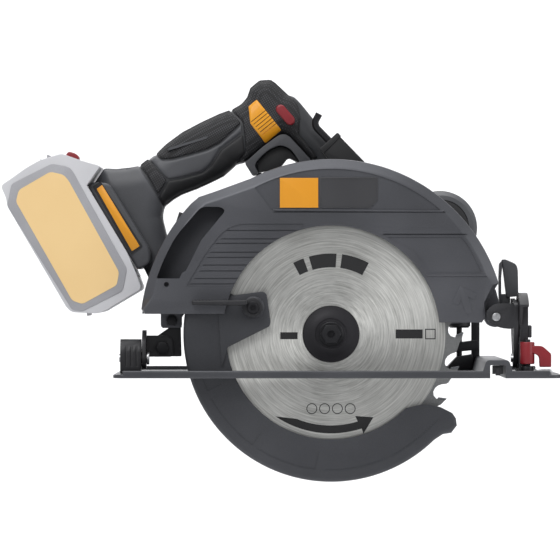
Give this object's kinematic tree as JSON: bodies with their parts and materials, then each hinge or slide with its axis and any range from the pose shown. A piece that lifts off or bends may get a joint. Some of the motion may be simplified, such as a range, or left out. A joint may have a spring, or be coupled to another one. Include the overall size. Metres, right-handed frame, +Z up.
{
  "type": "cordless circular saw",
  "caption": "Battery circular saw with sprung lower guard, tilting sole, depth swing, rear trigger handle and slide-off battery pack.",
  "frame": {"origin": "on the sole, straight under the spindle axis, on the middle plane of the handle", "axes": "+X is the cutting direction, +Y the motor side, +Z up out of the sole"},
  "size_m": [0.4024, 0.176, 0.2893],
  "materials": {
    "sole_enamel": "satin dark enamel",
    "black_steel": "black oxide steel",
    "guard_enamel": "powder coated dark grey",
    "bright_steel": "zinc plated steel",
    "blade_steel": "radially brushed",
    "bearing_steel": "ground steel",
    "black_plastic": "moulded, fine spark texture",
    "grip_rubber": "soft overmould",
    "yellow_plastic": "moulded yellow",
    "red_plastic": "moulded dark red",
    "battery_grey": "moulded pale grey",
    "copper": "enamelled copper and iron",
    "green_board": "solder mask",
    "cell_wrap": "shrink film",
    "lamp_lens": "clear lens"
  },
  "bodies": {
    "base": {"base_plate": "sole_enamel", "rear_hinge_lug": "black_steel", "bevel_quadrant": "black_steel", "sight_plate": "bright_steel", "fence_clamp_screw": "black_steel"},
    "fence_clamp": {"fence_clamp_lever": "red_plastic"},
    "bevel_frame": {"front_bevel_bracket": "black_steel", "rear_bevel_bracket": "black_steel", "depth_arc": "black_steel", "arc_bolt": "bright_steel", "front_bevel_pin": "bright_steel", "rear_bevel_pin": "bright_steel", "depth_pin": "bright_steel", "bevel_lock_bolt": "bright_steel"},
    "bevel_lock": {"bevel_lock_lever": "black_plastic"},
    "saw_body": {"upper_guard": "guard_enamel", "guard_back": "guard_enamel", "gear_case": "black_plastic", "motor_housing": "black_plastic", "motor_end_cap": "black_plastic", "stator": "copper", "handle_right": "black_plastic", "handle_left": "black_plastic", "grip_rubber": "grip_rubber", "panel_right": "yellow_plastic", "panel_left": "yellow_plastic", "key_holder": "black_plastic", "front_knob": "black_plastic", "control_board": "green_board", "switch_module": "black_plastic", "terminal_block": "black_plastic", "work_light": "lamp_lens", "spindle_bearing_front": "bearing_steel", "spindle_bearing_rear": "bearing_steel", "motor_bearing_front": "bearing_steel", "motor_bearing_rear": "bearing_steel", "depth_lock_bolt": "bright_steel"},
    "depth_lock": {"depth_lock_lever": "black_plastic"},
    "spindle_lock": {"spindle_lock_button": "black_plastic"},
    "spindle_group": {"spindle": "bearing_steel", "drive_gear": "bearing_steel", "inner_flange": "black_steel", "outer_flange": "black_steel", "saw_blade": "blade_steel", "blade_bolt": "black_steel"},
    "rotor_group": {"motor_shaft": "bearing_steel", "motor_pinion": "bearing_steel", "rotor_core": "bearing_steel", "fan": "black_plastic"},
    "lower_guard_group": {"lower_guard": "guard_enamel", "guard_lever": "black_steel", "guard_lever_screw": "black_steel", "guard_spring": "bright_steel"},
    "trigger_body": {"trigger": "black_plastic"},
    "lock_off": {"lock_off_button": "red_plastic"},
    "battery": {"battery_case": "battery_grey", "battery_cover": "battery_grey", "battery_cells": "cell_wrap"},
    "latch": {"battery_latch": "red_plastic"},
    "key": {"hex_key": "bright_steel"}
  },
  "joints": [
    {"name": "bevel_tilt", "type": "hinge", "parent": "base", "child": "bevel_frame", "pos_m": [0, -0.044, 0.014], "axis": [1, 0, 0], "range_deg": [0, 45]},
    {"name": "depth_swing", "type": "hinge", "parent": "bevel_frame", "child": "saw_body", "pos_m": [0.1181, -0.044, 0.0437], "axis": [0, 1, 0], "range_deg": [0, 17]},
    {"name": "guard_retract", "type": "hinge", "parent": "saw_body", "child": "lower_guard_group", "pos_m": [0, -0.044, 0.0312], "axis": [0, 1, 0], "range_deg": [0, 135], "stiffness_Nm_per_rad": 0.06, "springref_deg": -68.75},
    {"name": "spindle_spin", "type": "hinge", "parent": "saw_body", "child": "spindle_group", "pos_m": [0, -0.044, 0.0312], "axis": [0, 1, 0], "continuous": true},
    {"name": "rotor_spin", "type": "hinge", "parent": "saw_body", "child": "rotor_group", "pos_m": [0.01268, 0, 0.05839], "axis": [0, 1, 0], "continuous": true},
    {"name": "trigger_pull", "type": "slide", "parent": "saw_body", "child": "trigger_body", "axis": [-0.3939, 0, 0.9191], "range_m": [0, 0.0035], "stiffness_N_per_m": 600, "springref_m": -0.004},
    {"name": "lock_off_push", "type": "slide", "parent": "saw_body", "child": "lock_off", "axis": [0, 1, 0], "range_m": [0, 0.003], "stiffness_N_per_m": 500, "springref_m": -0.003},
    {"name": "bevel_lock_turn", "type": "hinge", "parent": "bevel_frame", "child": "bevel_lock", "pos_m": [0.125, -0.01724, 0.04373], "axis": [-1, 0, 0], "range_deg": [0, 60]},
    {"name": "depth_lock_turn", "type": "hinge", "parent": "saw_body", "child": "depth_lock", "pos_m": [-0.1149, -0.024, 0.041], "axis": [0, 1, 0], "range_deg": [0, 40]},
    {"name": "fence_clamp_turn", "type": "hinge", "parent": "base", "child": "fence_clamp", "pos_m": [0.1401, -0.0655, 0.018], "axis": [0, 0, 1], "range_deg": [-80, 0]},
    {"name": "battery_slide", "type": "slide", "parent": "saw_body", "child": "battery", "axis": [-0.515, 0, 0.8572], "range_m": [0, 0.09]},
    {"name": "latch_press", "type": "slide", "parent": "battery", "child": "latch", "axis": [0, 0, -1], "range_m": [0, 0.0025], "stiffness_N_per_m": 500, "springref_m": -0.003},
    {"name": "spindle_lock_press", "type": "slide", "parent": "saw_body", "child": "spindle_lock", "axis": [0.9397, 0, -0.342], "range_m": [0, 0.003], "stiffness_N_per_m": 500, "springref_m": -0.003},
    {"name": "key_pull", "type": "slide", "parent": "saw_body", "child": "key", "axis": [-0.6947, 0, 0.7193], "range_m": [0, 0.05]}
  ],
  "couplings": [
    {"joint": "rotor_spin", "follows": "spindle_spin", "ratio": -3.2857}
  ]
}
